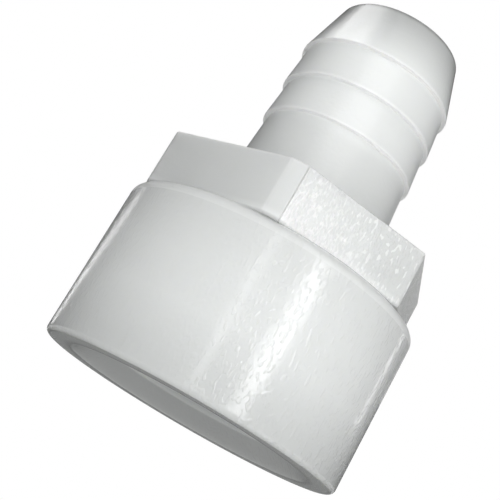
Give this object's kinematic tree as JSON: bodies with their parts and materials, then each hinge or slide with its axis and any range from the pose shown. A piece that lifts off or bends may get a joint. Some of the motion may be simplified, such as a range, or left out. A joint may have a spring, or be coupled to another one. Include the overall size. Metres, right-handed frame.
{
  "type": "hose barb adapter",
  "caption": "Moulded nylon fitting: a ringed hose barb above a wrench hexagon and a round female pipe socket, with a waterway right through.",
  "frame": {"origin": "centre of the socket's mouth, in the plane of the mouth's end face that it stands on", "axes": "+Z along the fitting's axis from the mouth to the tip of the barb, +X through a corner of the hexagon"},
  "size_m": [0.0266, 0.0266, 0.0382],
  "materials": {
    "nylon": "natural nylon, milky and slightly translucent, satin with a fine moulded texture"
  },
  "bodies": {
    "root": {"barb_adapter": "nylon"}
  },
  "joints": []
}
